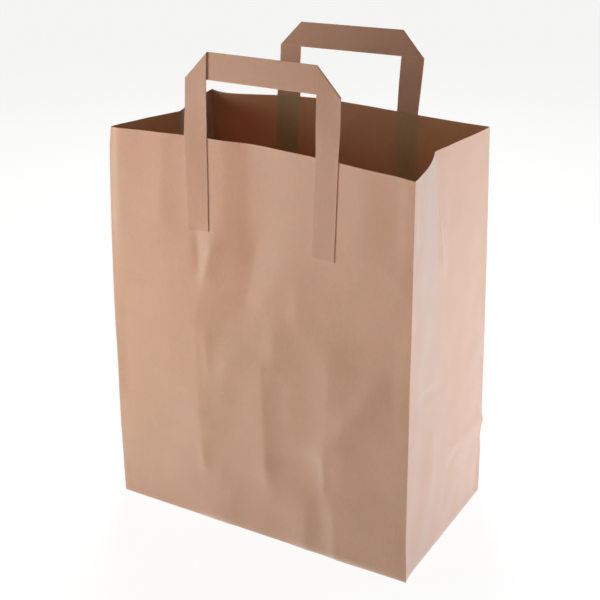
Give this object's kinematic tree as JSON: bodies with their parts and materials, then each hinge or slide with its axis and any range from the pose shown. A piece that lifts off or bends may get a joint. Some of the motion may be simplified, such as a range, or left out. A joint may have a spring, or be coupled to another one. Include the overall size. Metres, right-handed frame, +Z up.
{
  "type": "paper carrier bag",
  "caption": "Open block-bottom brown kraft paper carrier bag with tucked side gussets and flat folded tape handles glued outside.",
  "frame": {"origin": "centre of the rectangular base, on the surface that the bag stands on", "axes": "+Z up to the open mouth, +X along the front panel to the viewer's right, the front panel faces -Y"},
  "size_m": [0.252, 0.1634, 0.3602],
  "materials": {
    "kraft_sheet": "matt machine-glazed brown kraft with fine fibres, soft handling creases and folded edges",
    "kraft_tape": "matt brown kraft tape, folded in plies lengthwise, with mitre folds at its corners"
  },
  "bodies": {
    "root": {"bag_body": "kraft_sheet", "front_handle": "kraft_tape", "rear_handle": "kraft_tape"}
  },
  "joints": []
}
